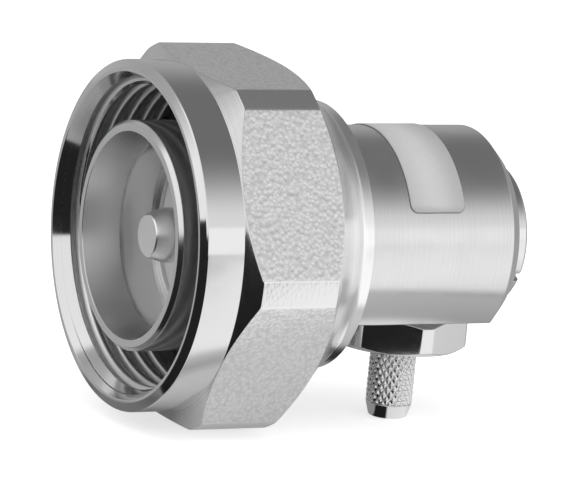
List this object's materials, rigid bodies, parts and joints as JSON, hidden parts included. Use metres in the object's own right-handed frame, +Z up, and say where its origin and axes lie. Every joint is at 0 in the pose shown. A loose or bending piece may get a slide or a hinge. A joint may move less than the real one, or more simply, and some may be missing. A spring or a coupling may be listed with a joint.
{
  "type": "right angle coaxial connector plug",
  "caption": "Right angle coaxial plug with a turning hexagonal coupling nut on a round housing and a crimp neck that leaves it at 90 degrees.",
  "frame": {"origin": "on the main axis, in the plane inside the sleeve where the mating tube comes to rest", "axes": "-X along the main axis out of the mating end, +X towards the back cap, -Z along the crimp neck, +Z up"},
  "size_m": [0.0385, 0.0356, 0.034],
  "materials": {
    "nut_plating": "white bronze plated brass, sand-blasted hexagon flats, polished front ring",
    "housing_plating": "white bronze plated brass, fine turned lines",
    "cap_plating": "white bronze plated brass, polished rim",
    "neck_plating": "white bronze plated brass, bright flange, knurled barrel",
    "contact_plating": "silver plated, smooth turned",
    "spring_bronze": "plain spring bronze",
    "ptfe": "white, waxy, finely turned",
    "seal_rubber": "black silicone rubber, matt",
    "label_film": "pale satin film, bare"
  },
  "bodies": {
    "body": {"angle_housing": "housing_plating", "outer_contact": "contact_plating", "centre_pin": "contact_plating", "front_insulator": "ptfe", "rear_contact": "contact_plating", "line_bead": "ptfe", "face_gasket": "seal_rubber", "thrust_washer": "spring_bronze", "nut_snap_ring": "spring_bronze", "nut_o_ring": "seal_rubber", "back_cap": "cap_plating", "cap_seal": "seal_rubber", "cap_insulator": "ptfe", "crimp_neck": "neck_plating", "neck_insulator": "ptfe", "neck_seal": "seal_rubber", "label": "label_film"},
    "nut": {"coupling_nut": "nut_plating"}
  },
  "joints": [
    {"name": "nut_turn", "type": "hinge", "parent": "body", "child": "nut", "pos_m": [0, 0, 0], "axis": [1, 0, 0], "continuous": true}
  ]
}
